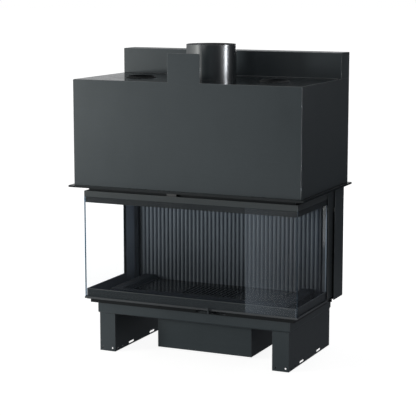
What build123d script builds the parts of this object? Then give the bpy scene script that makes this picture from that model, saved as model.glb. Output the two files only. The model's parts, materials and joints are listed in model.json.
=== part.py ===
from build123d import *
from math import cos, pi, sin
import os

os.makedirs("parts", exist_ok=True)

# All lengths are in millimetres.
# X is to the right, Y to the rear and Z up, and the origin is at the middle of the footprint.
# A depth is measured from the front face of the housing to the rear.

# General sizes
sheet = 3
overrun = 10
running_gap = 0.05
seat_gap = 0.3

# Main sizes of the housing and the base
housing_half = 485
housing_depth = 536
housing_height = 423
leg_height = 158
tray_height = 46
glass_height = 414

# Heights of the base, the door and the housing
pan_height = 18
bottom_bar_height = 5
top_bar_height = 24
door_head_gap = 27
base_bottom_z = leg_height
base_top_z = base_bottom_z + tray_height
floor_top_z = base_top_z + sheet
pan_top_z = base_top_z + pan_height
bottom_bar_bottom_z = pan_top_z
glass_bottom_z = bottom_bar_bottom_z + bottom_bar_height
glass_top_z = glass_bottom_z + glass_height
door_top_z = glass_top_z + top_bar_height
housing_bottom_z = door_top_z + door_head_gap
housing_top_z = housing_bottom_z + housing_height
roof_underside_z = housing_top_z - sheet

# Flange, tab and tower
flange_reach = 17.5
flange_lip_height = 8
flange_opening_inset = 19
flange_opening_depth = 30
tab_half = 69
tab_rise = 9
tab_corner = 5
tower_depth = 98
tower_height = 103
tower_foot_inset = 15
tower_foot_reach = 8
tower_foot_height = 2
overall_depth = housing_depth + flange_reach
rear_sheet_depth = housing_depth - sheet
flange_opening_half = housing_half - flange_opening_inset
tower_front_depth = housing_depth - tower_depth
tower_top_z = housing_top_z + tower_height
tower_foot_half = housing_half - tower_foot_inset
tab_top_z = tower_top_z + tab_rise

# Flue and convection outlets
flue_radius = 100
flue_foot_step = 0.6
flue_rise = 34
flue_hole_gap = 1
flue_to_tower = 76
dome_drop = 25
outlet_radius = 50
outlet_wall = 2
outlet_inset = 195
outlet_lead = 47
outlet_flange_radius = 60
outlet_flange_height = 2
outlet_rim_height = 6
outlet_drop = 12
flue_depth = tower_front_depth - flue_to_tower - flue_radius
flue_top_z = tower_top_z + flue_rise
dome_top_z = housing_top_z - dome_drop
outlet_x = housing_half - outlet_inset
outlet_depth = flue_depth - outlet_lead

# Legs
leg_inset = 70
leg_width = 70
leg_front_depth = 72
leg_front_hole_inset = 14
leg_front_hole_z = 13
leg_front_hole_radius = 4
leg_side_z = 10
leg_side_hole_radius = 3.5
leg_side_hole_inset = 26
leg_side_hole_spacing = 41
leg_slot_inset = 144
leg_slot_rear_inset = 128
leg_slot_length = 49
leg_slot_radius = 4.5
leg_outer_x = housing_half - leg_inset
leg_first_hole_depth = leg_front_depth + leg_side_hole_inset
leg_side_hole_depths = (leg_first_hole_depth, leg_first_hole_depth + leg_side_hole_spacing)
leg_slot_depths = (leg_front_depth + leg_slot_inset, housing_depth - leg_slot_rear_inset)

# Base tray
tray_overhang = 5
tray_rear_inset = 2
tray_bend = 7
tray_half = leg_outer_x + tray_overhang
tray_front_depth = leg_front_depth - tray_overhang
tray_rear_depth = housing_depth - tray_rear_inset

# Leg bolts
bolt_inset = 48
bolt_rear_inset = 54
bolt_radius = 4
bolt_hole_gap = 0.3
bolt_head_width = 13
bolt_head_height = 5.3
bolt_nut_height = 6.5
bolt_end = 3
bolt_x = leg_outer_x - leg_width / 2
bolt_depths = (leg_front_depth + bolt_inset, tray_rear_depth - bolt_rear_inset)

# Lower frame
pan_overhang = 25
pan_reach = 17
band_overhang = 11
band_reach = 10
band_height = 40.6
pan_half = tray_half + pan_overhang
pan_front_depth = tray_front_depth - pan_reach
band_half = pan_half + band_overhang
band_front_depth = pan_front_depth - band_reach
band_top_z = pan_top_z + band_height

# Lift door
glass = 4
band_gap = 1
rail_height = 24
rail_thickness = 4
top_bar_depth = 10
bottom_bar_reach = 2
bottom_bar_lip = 3
seal_drop = 7
seal_run_height = 10
seal_run_thickness = 2.6
seal_width = 4.5
catch_left_x = -91
catch_right_x = -49
catch_inset = 2
catch_thickness = 7
catch_height = 13
door_half = band_half + band_gap + glass
glass_back_depth = band_front_depth - band_gap
door_front_depth = glass_back_depth - glass
rail_bottom_z = glass_top_z - rail_height
seal_top_z = door_top_z - seal_drop
seal_inner_x = door_half - seal_width
catch_front_depth = door_front_depth + catch_inset

# Lift shafts and guide rails
shaft_depth = 105
shaft_inset = 15
shaft_width = 70
shaft_foot_rise = 12
shaft_step = 9
rail_inset = 20
rail_lead = 31
rail_radius = 6
carriage_reach = 24
carriage_half_depth = 11
carriage_drop = 43
carriage_rise = 3
stop_height = 20
ferrule_radius = 4
ferrule_height = 8
shaft_outer_x = housing_half - shaft_inset
shaft_inner_x = shaft_outer_x - shaft_width
shaft_front_depth = housing_depth - shaft_depth
shaft_bottom_z = floor_top_z + shaft_foot_rise
rail_x = shaft_outer_x - rail_inset
rail_depth = shaft_front_depth + rail_lead
carriage_inner_x = rail_x - carriage_reach
carriage_bottom_z = glass_top_z - carriage_drop
carriage_top_z = door_top_z + carriage_rise
back_plate_depth = shaft_front_depth + shaft_step
pan_rear_inset = 14
pan_rear_depth = shaft_front_depth - pan_rear_inset

# Side walls, and the rear ends of the door's sides
wall_inset = 0.5
wall_lip_width = 4.2
wall_lead = 49.7
wall_rise = 8
seal_length = 8.3
hanger_lap = 10
wall_outer_x = door_half - wall_inset
wall_front_depth = shaft_front_depth - wall_lead
wall_bottom_z = pan_top_z + wall_rise
door_rear_depth = wall_front_depth - seal_length
seal_end_depth = wall_front_depth - seat_gap
hanger_front_depth = door_rear_depth - hanger_lap

# Linings
lining_drop = 21
lining_wall_gap = 7.8
lining_lead = 0.2
lining_bend_inset = 25.5
lining_bend_lead = 10
lining_thickness = 12
lining_corner_gap = 8.7
lining_bend_width = 5
lining_bend_depth = 6
lining_end_depth = 13.5
back_lining_inset = 49.8
back_lining_thickness = 12
rib_depth = 5
rib_pitch = 18.27
plate_count = 4
lining_top_z = glass_top_z - lining_drop
back_lining_half = wall_outer_x - back_lining_inset
rib_crest_depth = back_plate_depth - back_lining_thickness
rib_groove_depth = rib_crest_depth + rib_depth
ribs_per_plate = int(2 * back_lining_half / plate_count / rib_pitch)
lining_front_x = wall_outer_x - lining_wall_gap
lining_front_depth = wall_front_depth + lining_lead
lining_bend_x = wall_outer_x - lining_bend_inset
lining_bend_front_depth = shaft_front_depth - lining_bend_lead
lining_rear_x = back_lining_half + lining_corner_gap
lining_back_depth = back_plate_depth - seat_gap

# Hearth
hearth_inset = 60
hearth_lead = 45
hearth_gap = 1
hearth_slab = 24
hearth_lift = 9
hearth_skirt = 10
hearth_rim_height = 16
hearth_rim_width = 49
hearth_rim_depth = 35
hearth_rim_slope = 24
hearth_rim_front_slope = 20
hearth_half = pan_half - hearth_inset
hearth_front_depth = pan_front_depth + hearth_lead
hearth_rear_depth = rib_crest_depth - hearth_gap
hearth_top_z = floor_top_z + hearth_lift + hearth_slab
hearth_rim_top_z = hearth_top_z + hearth_rim_height
hearth_rim_edge_x = hearth_half - hearth_rim_width
hearth_rim_foot_x = hearth_rim_edge_x - hearth_rim_slope
hearth_rim_edge_depth = hearth_front_depth + hearth_rim_depth
hearth_rim_foot_depth = hearth_rim_edge_depth + hearth_rim_front_slope

# Grate, between the foot of the front rim and the rear of the hearth
grate_half = 130
grate_lead = 50
grate_rear_gap = 27
grate_height = 16
grate_gap = 1
grate_ledge = 10
grate_slot_pitch = 18
grate_slot_width = 9
grate_border = 14
grate_front_depth = hearth_rim_foot_depth + grate_lead
grate_rear_depth = hearth_rear_depth - grate_rear_gap
grate_slot_count = int(2 * (grate_half - grate_border) / grate_slot_pitch) + 1

# Ash pan
ash_pan_inset = 20
ash_pan_drop = 27
ash_pan_wall = 2
ash_strap_half = 8
ash_strap_drop = 4
ash_pan_half = grate_half - ash_pan_inset
ash_pan_front_depth = grate_front_depth + ash_pan_inset
ash_pan_rear_depth = grate_rear_depth - ash_pan_inset
ash_pan_top_z = base_bottom_z - ash_pan_drop

# Air box with its spigot
air_box_side_room = 99
air_box_front_room = 30
air_box_rear_room = 90
air_box_bottom_z = 8
air_box_flange = 15
air_spigot_radius = 62.5
air_spigot_wall = 2
air_spigot_length = 60
air_box_half = ash_pan_half + air_box_side_room
air_box_front_depth = ash_pan_front_depth - air_box_front_room
air_box_rear_depth = ash_pan_rear_depth + air_box_rear_room
air_spigot_z = (air_box_bottom_z + base_bottom_z) / 2
air_spigot_end_depth = air_box_rear_depth + air_spigot_length

# Air lever and shutter
lever_x = 92
lever_width = 5
lever_gap = 3
lever_tip = 6
lever_rise = 9
lever_height = 6
lever_weld = 14
lever_travel = 60
lever_slot_gap = 1
shutter_half = 75
shutter_front_gap = 5
shutter_rear_gap = 3
air_slot_count = 4
air_slot_pitch = 30
air_slot_width = 14
air_slot_border = 6
lever_front_depth = door_front_depth - bottom_bar_reach - lever_gap - lever_tip
lever_top_z = glass_bottom_z + lever_rise
shutter_front_depth = pan_front_depth + sheet + shutter_front_gap
shutter_rear_depth = hearth_front_depth - shutter_rear_gap
lever_foot_depth = shutter_front_depth + lever_weld
air_slot_front_depth = shutter_front_depth + air_slot_border
air_slot_rear_depth = shutter_rear_depth - air_slot_border

# Upper frame, baffles and smoke dome
neck_inset = 14.5
neck_gap = 13
neck_wall = 4
neck_rise = 40
ledge_width = 15
ledge_height = 8
lower_ledge_rise = 20
ledge_spacing = 80
baffle_height = 25
baffle_gap = 2
lower_smoke_gap = 122
upper_smoke_gap = 120
neck_half = wall_outer_x - neck_inset
neck_front_depth = door_front_depth + neck_gap
lower_ledge_z = lining_top_z + lower_ledge_rise
upper_ledge_z = lower_ledge_z + ledge_spacing
neck_top_z = upper_ledge_z + neck_rise
lower_baffle_front_depth = neck_front_depth + lower_smoke_gap
upper_baffle_rear_depth = back_plate_depth - upper_smoke_gap

# Cables, pulleys and counterweights
cable_lead = 18
cable_radius = 1.5
pulley_pitch_radius = 26
pulley_rim_radius = 30
pulley_width = 10
pulley_groove_width = 4
pulley_hub_radius = 10
pulley_hole_count = 5
pulley_hole_radius = 4
pulley_hole_circle = 17
pulley_rise = 53
axle_radius = 5
axle_end = 4
cheek_inner_half = 8
cheek_half_depth = 15
bracket_rise = 36
bracket_foot = 15
cable_opening_half = 6
cable_opening_margin = 7
weight_half = 24
weight_half_depth = 16
weight_height = 408
weight_hang = 80
weight_corner = 3
cable_x = rail_x - cable_lead
pulley_z = housing_top_z + pulley_rise
pulley_depth = rail_depth + pulley_pitch_radius
bracket_top_z = pulley_z + bracket_rise
weight_depth = pulley_depth + pulley_pitch_radius
weight_top_z = pulley_z - weight_hang
weight_bottom_z = weight_top_z - weight_height

# A cylinder that is placed by the middle of its lower end
on_end = (Align.CENTER, Align.CENTER, Align.MIN)


def behind(depth):
    """The y position that lies this far behind the front face of the housing."""
    return flange_reach - overall_depth / 2 + depth


def block(x_low, x_high, depth_low, depth_high, z_low, z_high):
    """A box between two corners."""
    size = Box(x_high - x_low, depth_high - depth_low, z_high - z_low, align=Align.MIN)
    return Pos(x_low, behind(depth_low), z_low) * size


def upright(points, z_low, z_high):
    """A prism that stands on an outline of x and depth pairs."""
    outline = Polyline(*[(x, behind(depth)) for x, depth in points], close=True)
    return Pos(0, 0, z_low) * extrude(make_face(outline), z_high - z_low, dir=(0, 0, 1))


def post(x, depth, radius, z_low, z_high):
    """A cylinder along Z."""
    return Pos(x, behind(depth), z_low) * Cylinder(radius, z_high - z_low, align=on_end)


def cross_rod(depth, z, radius, x_low, x_high):
    """A cylinder along X."""
    rod = Cylinder(radius, x_high - x_low, align=on_end)
    return Pos(x_low, behind(depth), z) * Rot(0, 90, 0) * rod


def deep_rod(x, z, radius, depth_low, depth_high):
    """A cylinder along Y."""
    rod = Cylinder(radius, depth_high - depth_low, align=on_end)
    return Pos(x, behind(depth_low), z) * Rot(-90, 0, 0) * rod


def three_sided(half_width, depth_front, thickness, depth_rear, z_low, z_high):
    """A wall round the front and both sides, open at the rear."""
    inner = half_width - thickness
    wall = block(-half_width, half_width, depth_front, depth_rear, z_low, z_high)
    room_front = depth_front + thickness
    room = block(-inner, inner, room_front, depth_rear + overrun, z_low - overrun, z_high + overrun)
    return wall - room


def save(name, shape):
    """Write one sub-part."""
    export_step(shape, "parts/" + name + ".step")


def save_pair(name, right_shape):
    """Write a right sub-part and its mirror image on the left."""
    save(name + "_right", right_shape)
    save(name + "_left", mirror(right_shape, about=Plane.YZ))


# Base


def leg():
    """A folded channel with a front plate and a top web, open below and behind."""
    inner_x = leg_outer_x - leg_width
    body = block(inner_x, leg_outer_x, leg_front_depth, housing_depth, 0, base_bottom_z)
    web_z = base_bottom_z - sheet
    front = leg_front_depth + sheet
    body -= block(inner_x + sheet, leg_outer_x - sheet, front, housing_depth + overrun, -overrun, web_z)
    for x in (inner_x + leg_front_hole_inset, leg_outer_x - leg_front_hole_inset):
        body -= deep_rod(x, leg_front_hole_z, leg_front_hole_radius, leg_front_depth - overrun, front + overrun)
    for depth in leg_side_hole_depths:
        body -= cross_rod(depth, leg_side_z, leg_side_hole_radius, inner_x - overrun, leg_outer_x + overrun)
    for depth in leg_slot_depths:
        body -= leg_slot(depth, inner_x - overrun, leg_outer_x + overrun)
    for depth in bolt_depths:
        body -= post(bolt_x, depth, bolt_radius + bolt_hole_gap, web_z - overrun, base_bottom_z + overrun)
    return body


def leg_slot(depth, x_low, x_high):
    """The cutter of a slot that passes both side plates of a leg."""
    reach = leg_slot_length / 2 - leg_slot_radius
    low_z = leg_side_z - leg_slot_radius
    cutter = block(x_low, x_high, depth - reach, depth + reach, low_z, leg_side_z + leg_slot_radius)
    for end in (depth - reach, depth + reach):
        cutter += cross_rod(end, leg_side_z, leg_slot_radius, x_low, x_high)
    return cutter


def bolt(x, depth):
    """A hexagon bolt and its nut, clamping a leg's web to the base tray."""
    web_z = base_bottom_z - sheet
    tray_z = base_bottom_z + sheet
    shank = post(x, depth, bolt_radius, web_z - bolt_head_height, tray_z + bolt_nut_height + bolt_end)
    hexagon = RegularPolygon(bolt_head_width / 2, side_count=6, major_radius=False)
    head = Pos(x, behind(depth), web_z - bolt_head_height) * extrude(hexagon, bolt_head_height)
    nut = Pos(x, behind(depth), tray_z) * extrude(hexagon, bolt_nut_height)
    return shank + head + nut


def base_tray():
    """A shallow folded tray under the firebox, with rounded bends and an opening for the air box."""
    tray = block(-tray_half, tray_half, tray_front_depth, tray_rear_depth, base_bottom_z, base_top_z)
    tray = fillet(tray.faces().sort_by(Axis.Z)[0].edges(), tray_bend)
    inner_x = tray_half - sheet
    front = tray_front_depth + sheet
    rear = tray_rear_depth - sheet
    room = block(-inner_x, inner_x, front, rear, base_bottom_z + sheet, base_top_z + overrun)
    tray -= fillet(room.faces().sort_by(Axis.Z)[0].edges(), tray_bend - sheet)
    low_z = base_bottom_z - overrun
    high_z = base_bottom_z + overrun
    tray -= air_box_room(low_z, high_z)
    for x in (-bolt_x, bolt_x):
        for depth in bolt_depths:
            tray -= post(x, depth, bolt_radius + bolt_hole_gap, low_z, high_z)
    return tray


def air_box_room(z_low, z_high):
    """The clear inside of the air box."""
    inner_x = air_box_half - sheet
    return block(-inner_x, inner_x, air_box_front_depth + sheet, air_box_rear_depth - sheet, z_low, z_high)


def air_box():
    """A deep box below the base tray that takes in the air and holds the ash pan."""
    flange_x = air_box_half + air_box_flange
    front = air_box_front_depth - air_box_flange
    rear = air_box_rear_depth + air_box_flange
    box = block(
        -air_box_half, air_box_half, air_box_front_depth, air_box_rear_depth, air_box_bottom_z, base_bottom_z
    )
    box += block(-flange_x, flange_x, front, rear, base_bottom_z - sheet, base_bottom_z)
    box += deep_rod(0, air_spigot_z, air_spigot_radius, air_box_rear_depth - sheet, air_spigot_end_depth)
    box -= air_box_room(air_box_bottom_z + sheet, base_bottom_z + overrun)
    bore = air_spigot_radius - air_spigot_wall
    return box - deep_rod(0, air_spigot_z, bore, air_box_rear_depth - overrun, air_spigot_end_depth + overrun)


def grate_opening(grow, z_low, z_high):
    """The rectangle of the grate's seat, made larger or smaller all round."""
    half = grate_half + grow
    return block(-half, half, grate_front_depth - grow, grate_rear_depth + grow, z_low, z_high)


def air_slots(z_low, z_high):
    """The row of slots that the shutter opens and closes."""
    first_x = lever_x - air_slot_pitch * (air_slot_count - 1) / 2
    slots = []
    for index in range(air_slot_count):
        left = first_x + index * air_slot_pitch - air_slot_width / 2
        right = left + air_slot_width
        slots.append(block(left, right, air_slot_front_depth, air_slot_rear_depth, z_low, z_high))
    return slots


def lower_frame():
    """The firebox floor with its low wall and the upright band behind the glass."""
    frame = block(-pan_half, pan_half, pan_front_depth, pan_rear_depth, base_top_z, floor_top_z)
    frame += block(-tray_half, tray_half, pan_rear_depth - sheet, tray_rear_depth, base_top_z, floor_top_z)
    frame += three_sided(pan_half, pan_front_depth, sheet, pan_rear_depth, base_top_z, pan_top_z)
    step = band_half - pan_half + sheet
    frame += three_sided(band_half, band_front_depth, step, pan_rear_depth, pan_top_z - sheet, pan_top_z)
    frame += three_sided(band_half, band_front_depth, sheet, pan_rear_depth, pan_top_z - sheet, band_top_z)
    frame -= grate_opening(-grate_ledge, base_top_z - overrun, floor_top_z + overrun)
    for slot in air_slots(base_top_z - overrun, floor_top_z + overrun):
        frame -= slot
    reach = lever_travel + lever_width / 2 + lever_slot_gap
    low_z = floor_top_z + lever_slot_gap
    high_z = floor_top_z + sheet + lever_height + lever_slot_gap
    front = pan_front_depth - lever_slot_gap
    rear = pan_front_depth + sheet + lever_slot_gap
    return frame - block(lever_x - reach, lever_x + reach, front, rear, low_z, high_z)


def air_lever():
    """The air shutter on the floor of the lower frame, with its lever and upright tip."""
    low_z = floor_top_z + seat_gap
    top_z = low_z + sheet
    shutter = block(
        lever_x - shutter_half, lever_x + shutter_half, shutter_front_depth, shutter_rear_depth, low_z, top_z
    )
    for slot in air_slots(low_z - overrun, top_z + overrun):
        shutter -= slot
    left = lever_x - lever_width / 2
    right = lever_x + lever_width / 2
    bar_z = top_z - lever_slot_gap
    shutter += block(left, right, lever_front_depth, lever_foot_depth, bar_z, bar_z + lever_height)
    return shutter + block(left, right, lever_front_depth, lever_front_depth + lever_tip, bar_z, lever_top_z)


# Hearth


def hearth_pan():
    """The cast hearth with a raised rim on three sides and the seat of the grate."""
    slab_z = hearth_top_z - hearth_slab
    pan = block(-hearth_half, hearth_half, hearth_front_depth, hearth_rear_depth, floor_top_z, hearth_top_z)
    inner = hearth_half - hearth_skirt
    front = hearth_front_depth + hearth_skirt
    pan -= block(-inner, inner, front, hearth_rear_depth - hearth_skirt, floor_top_z - overrun, slab_z)
    pan += hearth_side_rim(1)
    pan += hearth_side_rim(-1)
    pan += hearth_front_rim()
    pan -= grate_opening(grate_gap, hearth_top_z - grate_height, hearth_top_z + overrun)
    return pan - grate_opening(-grate_ledge, slab_z - overrun, hearth_top_z + overrun)


def hearth_side_rim(side):
    """The raised rim along one side of the hearth."""
    section = [
        (side * hearth_half, hearth_top_z),
        (side * hearth_half, hearth_rim_top_z),
        (side * hearth_rim_edge_x, hearth_rim_top_z),
        (side * hearth_rim_foot_x, hearth_top_z),
    ]
    length = hearth_rear_depth - hearth_front_depth
    face = make_face(Plane.XZ * Polyline(*section, close=True))
    return Pos(0, behind(hearth_front_depth), 0) * extrude(face, length, dir=(0, 1, 0))


def hearth_front_rim():
    """The raised rim along the front of the hearth."""
    section = [
        (behind(hearth_front_depth), hearth_top_z),
        (behind(hearth_front_depth), hearth_rim_top_z),
        (behind(hearth_rim_edge_depth), hearth_rim_top_z),
        (behind(hearth_rim_foot_depth), hearth_top_z),
    ]
    face = make_face(Plane.YZ * Polyline(*section, close=True))
    return Pos(-hearth_half, 0, 0) * extrude(face, 2 * hearth_half, dir=(1, 0, 0))


def grate():
    """The loose cast grate, with bars from front to rear."""
    bottom_z = hearth_top_z - grate_height
    plate = grate_opening(0, bottom_z, hearth_top_z)
    first_x = -grate_slot_pitch * (grate_slot_count - 1) / 2
    low = grate_front_depth + grate_border
    high = grate_rear_depth - grate_border
    for index in range(grate_slot_count):
        x = first_x + index * grate_slot_pitch
        left = x - grate_slot_width / 2
        plate -= block(left, left + grate_slot_width, low, high, bottom_z - overrun, hearth_top_z + overrun)
    return plate


def ash_pan():
    """The loose pan below the grate, with a strap across its top to lift it by."""
    low_z = air_box_bottom_z + sheet
    top_z = ash_pan_top_z
    front = ash_pan_front_depth
    rear = ash_pan_rear_depth
    wall = ash_pan_wall
    inner = ash_pan_half - wall
    pan = block(-ash_pan_half, ash_pan_half, front, rear, low_z, top_z)
    pan -= block(-inner, inner, front + wall, rear - wall, low_z + wall, top_z + overrun)
    strap_z = top_z - ash_strap_drop
    return pan + block(-ash_strap_half, ash_strap_half, front, rear, strap_z - ash_pan_wall, strap_z)


# Firebox


def firebox_back():
    """The steel back plate of the firebox."""
    half = wall_outer_x - sheet
    return block(-half, half, back_plate_depth, back_plate_depth + sheet, floor_top_z, housing_bottom_z)


def side_wall():
    """The narrow steel wall behind the side pane, with the lip that the door seal meets."""
    rear = back_plate_depth + sheet
    wall = block(wall_outer_x - sheet, wall_outer_x, wall_front_depth, rear, wall_bottom_z, housing_bottom_z)
    lip_x = wall_outer_x - wall_lip_width
    return wall + block(
        lip_x, wall_outer_x, wall_front_depth, wall_front_depth + sheet, wall_bottom_z, housing_bottom_z
    )


def side_lining():
    """The angled lining plate in a rear corner of the firebox."""
    outline = [
        (lining_front_x, lining_front_depth),
        (lining_bend_x, lining_bend_front_depth),
        (lining_rear_x, lining_back_depth - lining_thickness),
        (lining_rear_x, lining_back_depth),
        (lining_bend_x + lining_bend_width, lining_bend_front_depth + lining_bend_depth),
        (lining_front_x, lining_front_depth + lining_end_depth),
    ]
    return upright(outline, pan_top_z, lining_top_z)


def back_lining(index):
    """One ribbed lining plate of the back wall. The two outer plates have a plain margin."""
    plate_width = rib_pitch * ribs_per_plate
    left = (index - plate_count / 2) * plate_width
    right = left + plate_width
    edges = []
    for rib in range(ribs_per_plate):
        x = left + rib * rib_pitch
        start = (x, behind(rib_groove_depth))
        crest = (x + rib_pitch / 2, behind(rib_crest_depth))
        end = (x + rib_pitch, behind(rib_groove_depth))
        edges.append(ThreePointArc(start, crest, end))
    far_left = -back_lining_half if index == 0 else left
    far_right = back_lining_half if index == plate_count - 1 else right
    rear = behind(back_plate_depth)
    groove = behind(rib_groove_depth)
    border = [(right, groove)]
    if far_right > right:
        border.append((far_right, groove))
    border += [(far_right, rear), (far_left, rear)]
    if far_left < left:
        border.append((far_left, groove))
    border.append((left, groove))
    edges.append(Polyline(*border))
    face = make_face(Curve() + edges)
    return Pos(0, 0, floor_top_z) * extrude(face, lining_top_z - floor_top_z, dir=(0, 0, 1))


def upper_frame():
    """The fixed frame above the glass, with the ledges that carry both baffles."""
    inner = neck_half - neck_wall
    front = neck_front_depth + neck_wall
    rear = back_plate_depth - neck_wall
    frame = block(-neck_half, neck_half, neck_front_depth, back_plate_depth, lining_top_z, neck_top_z)
    frame -= block(-inner, inner, front, rear, lining_top_z - overrun, neck_top_z + overrun)
    for ledge_z in (lower_ledge_z, upper_ledge_z):
        for side in (-1, 1):
            near = side * (inner - ledge_width)
            far = side * (inner + neck_wall / 2)
            frame += block(min(near, far), max(near, far), front, rear, ledge_z - ledge_height, ledge_z)
    return frame


def baffle(depth_front, depth_rear, z_low):
    """A loose flame baffle that lies on the ledges of the upper frame."""
    half = neck_half - neck_wall - baffle_gap
    return block(-half, half, depth_front, depth_rear, z_low, z_low + baffle_height)


def dome_skin(inset):
    """The outside of the smoke dome, or its inside where the inset is the sheet's thickness."""
    middle = behind((neck_front_depth + back_plate_depth) / 2)
    width = 2 * (neck_half - inset)
    length = back_plate_depth - neck_front_depth - 2 * inset
    foot = Pos(0, middle, neck_top_z) * Rectangle(width, length)
    top = Pos(0, behind(flue_depth), dome_top_z) * Circle(flue_radius - inset)
    return loft([foot, top])


def smoke_dome():
    """The hood that gathers the smoke to the flue."""
    return dome_skin(0) - dome_skin(sheet)


def flue_collar():
    """The round spigot of the flue, a little wider below the roof."""
    collar = post(0, flue_depth, flue_radius, dome_top_z, flue_top_z)
    collar += post(0, flue_depth, flue_radius + flue_foot_step, dome_top_z, housing_top_z)
    return collar - post(0, flue_depth, flue_radius - sheet, dome_top_z - overrun, flue_top_z + overrun)


# Housing


def housing_front():
    """The front sheet with the tab that stands above it in the middle."""
    tab = block(-tab_half, tab_half, 0, sheet, housing_top_z - overrun, tab_top_z)
    tab = fillet(tab.edges().filter_by(Axis.Y).group_by(Axis.Z)[-1], tab_corner)
    return block(-housing_half, housing_half, 0, sheet, housing_bottom_z, housing_top_z) + tab


def housing_side():
    """One side sheet."""
    return block(housing_half - sheet, housing_half, sheet, rear_sheet_depth, housing_bottom_z, housing_top_z)


def housing_roof():
    """The top sheet, with its openings for the flue, the convection outlets and the cables."""
    half = housing_half - sheet
    low_z = roof_underside_z - overrun
    high_z = housing_top_z + overrun
    roof = block(-half, half, sheet, rear_sheet_depth, roof_underside_z, housing_top_z)
    roof -= post(0, flue_depth, flue_radius + flue_hole_gap, low_z, high_z)
    front = rail_depth - cable_opening_margin
    rear = weight_depth + cable_opening_margin
    for side in (-1, 1):
        roof -= post(side * outlet_x, outlet_depth, outlet_radius + outlet_wall + seat_gap, low_z, high_z)
        left = side * cable_x - cable_opening_half
        roof -= block(left, left + 2 * cable_opening_half, front, rear, low_z, high_z)
    return roof


def convection_rim():
    """The collar of a warm air outlet, with the flange that lies on the roof."""
    low_z = roof_underside_z - outlet_drop
    top_z = housing_top_z + outlet_rim_height
    rim = post(outlet_x, outlet_depth, outlet_radius + outlet_wall, low_z, top_z)
    flange_top_z = housing_top_z + outlet_flange_height
    rim += post(outlet_x, outlet_depth, outlet_flange_radius, housing_top_z, flange_top_z)
    return rim - post(outlet_x, outlet_depth, outlet_radius, low_z - overrun, top_z + overrun)


def rear_panel():
    """The rear sheet of the housing and the tower."""
    return block(-housing_half, housing_half, rear_sheet_depth, housing_depth, housing_bottom_z, tower_top_z)


def bottom_flange():
    """The folded flange round the foot of the housing, with a lip turned down at its outer edge."""
    outer = housing_half + flange_reach
    opening = flange_opening_half
    plate_z = housing_bottom_z - sheet
    top_z = housing_bottom_z
    plate = block(-outer, outer, -flange_reach, housing_depth, plate_z, top_z)
    rear = housing_depth + overrun
    plate -= block(-opening, opening, flange_opening_depth, rear, plate_z - overrun, top_z + overrun)
    lip_z = housing_bottom_z - flange_lip_height
    return plate + three_sided(outer, -flange_reach, sheet, housing_depth, lip_z, housing_bottom_z)


def tower_wrap():
    """The front and both sides of the pulley tower, folded from one sheet with a foot in front."""
    wrap = three_sided(housing_half, tower_front_depth, sheet, rear_sheet_depth, housing_top_z, tower_top_z)
    front = tower_front_depth - tower_foot_reach
    rear = tower_front_depth + sheet
    foot_z = housing_top_z + tower_foot_height
    return wrap + block(-tower_foot_half, tower_foot_half, front, rear, housing_top_z, foot_z)


def tower_lid():
    """The lid of the pulley tower."""
    half = housing_half - sheet
    return block(-half, half, tower_front_depth + sheet, rear_sheet_depth, tower_top_z - sheet, tower_top_z)


# Lift mechanism


def shaft_cover():
    """The folded cover of a counterweight shaft, closed at its foot."""
    top_z = housing_bottom_z - sheet
    rear_of_back = back_plate_depth + sheet
    cover = block(shaft_inner_x, shaft_outer_x, rear_of_back, housing_depth, shaft_bottom_z, top_z)
    cover -= block(
        shaft_inner_x + sheet,
        shaft_outer_x - sheet,
        rear_of_back - overrun,
        rear_sheet_depth,
        shaft_bottom_z + sheet,
        top_z + overrun,
    )
    outer = shaft_outer_x
    return cover + block(outer - sheet, outer, shaft_front_depth, rear_sheet_depth, shaft_bottom_z, top_z)


def guide_rail():
    """The round rail of a carriage, standing in the block that stops the carriage at the bottom."""
    stop_z = carriage_bottom_z - seat_gap
    front = back_plate_depth + sheet
    rear = rail_depth + carriage_half_depth
    stop = block(carriage_inner_x, door_half, front, rear, stop_z - stop_height, stop_z)
    return stop + post(rail_x, rail_depth, rail_radius, stop_z - stop_height, roof_underside_z)


def lift_carriage():
    """The slide block of the door, with the hanger plate that holds the door's side and the cable's end."""
    front = rail_depth - carriage_half_depth
    rear = rail_depth + carriage_half_depth
    carriage = block(carriage_inner_x, door_half, front, rear, carriage_bottom_z, carriage_top_z)
    carriage += block(door_half, door_half + sheet, hanger_front_depth, rear, carriage_bottom_z, carriage_top_z)
    carriage += post(cable_x, rail_depth, ferrule_radius, carriage_top_z, carriage_top_z + ferrule_height)
    bore = rail_radius + running_gap
    return carriage - post(rail_x, rail_depth, bore, carriage_bottom_z - overrun, carriage_top_z + overrun)


def pulley_bracket():
    """The bridge that stands over a cable opening and carries the pulley's axle."""
    inner_low = cable_x - cheek_inner_half
    inner_high = cable_x + cheek_inner_half
    front = pulley_depth - cheek_half_depth
    rear = pulley_depth + cheek_half_depth
    bracket = block(inner_low - sheet, inner_high + sheet, front, rear, housing_top_z, bracket_top_z)
    low_z = housing_top_z - overrun
    bracket -= block(inner_low, inner_high, front - overrun, rear + overrun, low_z, bracket_top_z - sheet)
    foot_z = housing_top_z + sheet
    bracket += block(inner_low - sheet - bracket_foot, inner_low, front, rear, housing_top_z, foot_z)
    bracket += block(inner_high, inner_high + sheet + bracket_foot, front, rear, housing_top_z, foot_z)
    reach = sheet + axle_end
    return bracket + cross_rod(pulley_depth, pulley_z, axle_radius, inner_low - reach, inner_high + reach)


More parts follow.
